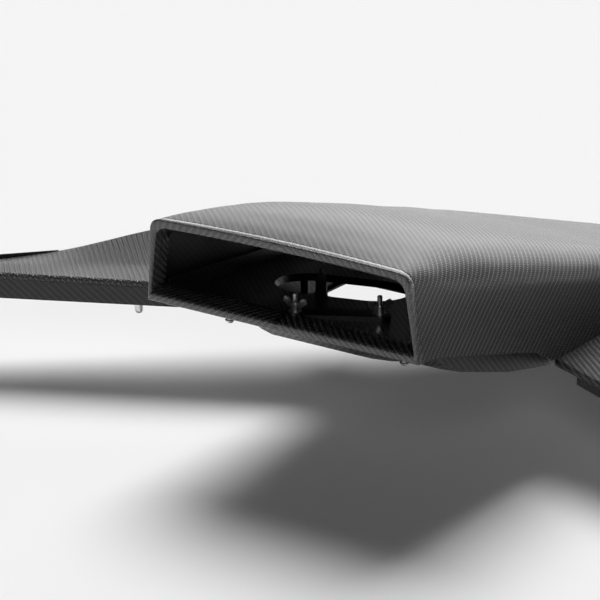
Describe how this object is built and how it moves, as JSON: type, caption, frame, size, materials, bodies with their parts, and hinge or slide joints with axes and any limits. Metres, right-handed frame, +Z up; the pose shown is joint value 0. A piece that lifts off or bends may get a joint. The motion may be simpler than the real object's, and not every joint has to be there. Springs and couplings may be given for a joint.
{
  "type": "racing rear wing deck with ram air scoop",
  "caption": "Carbon-fibre rear wing deck with a central ram-air scoop, forward-swept side panels, a lower pan and wing-nut clamps inside the duct.",
  "frame": {"origin": "middle of the plane that the four mounting pins stand on, midway along the length", "axes": "+X to the right seen from the front, +Y to the rear, +Z up"},
  "size_m": [1.102, 0.645, 0.1965],
  "materials": {
    "carbon_twill": "satin carbon twill",
    "carbon_lip": "satin carbon twill",
    "carbon_satin": "satin carbon",
    "carbon_gloss": "gloss carbon",
    "black_aluminium": "black anodised",
    "steel": "zinc plated"
  },
  "bodies": {
    "deck": {"scoop_shell": "carbon_twill", "mouth_lip": "carbon_lip", "intake_floor": "carbon_gloss", "outlet_rim": "carbon_gloss", "outlet_fin": "carbon_gloss", "clamp_plate": "black_aluminium", "clamp_studs": "steel", "lower_pan": "carbon_satin", "pan_spacers": "black_aluminium", "pan_screws": "steel", "right_wing_skin": "carbon_twill", "left_wing_skin": "carbon_twill", "right_wing_nose": "carbon_satin", "left_wing_nose": "carbon_satin", "right_wing_flange": "carbon_satin", "left_wing_flange": "carbon_satin", "right_trailing_lip": "carbon_satin", "left_trailing_lip": "carbon_satin", "right_tip_plate": "carbon_satin", "left_tip_plate": "carbon_satin", "right_root_strip": "carbon_satin", "left_root_strip": "carbon_satin", "rear_rib": "carbon_satin", "mounting_pins": "steel", "mounting_washers": "steel", "mounting_nuts": "steel"},
    "left_clamp_washer": {"left_clamp_washer": "steel"},
    "left_wing_nut": {"left_wing_nut": "steel"},
    "right_clamp_washer": {"right_clamp_washer": "steel"},
    "right_wing_nut": {"right_wing_nut": "steel"}
  },
  "joints": [
    {"name": "left_washer_lift", "type": "slide", "parent": "deck", "child": "left_clamp_washer", "axis": [0, 0, 1], "range_m": [0, 0.004]},
    {"name": "left_wing_nut_turn", "type": "hinge", "parent": "left_clamp_washer", "child": "left_wing_nut", "pos_m": [-0.01076, -0.2734, 0.112], "axis": [0, 0, 1], "range_deg": [0, 1800]},
    {"name": "right_washer_lift", "type": "slide", "parent": "deck", "child": "right_clamp_washer", "axis": [0, 0, 1], "range_m": [0, 0.004]},
    {"name": "right_wing_nut_turn", "type": "hinge", "parent": "right_clamp_washer", "child": "right_wing_nut", "pos_m": [0.06026, -0.2324, 0.112], "axis": [0, 0, 1], "range_deg": [0, 1800]}
  ],
  "couplings": [
    {"joint": "left_wing_nut_turn", "follows": "left_washer_lift", "rad_per_m": 7854},
    {"joint": "right_wing_nut_turn", "follows": "right_washer_lift", "rad_per_m": 7854}
  ]
}
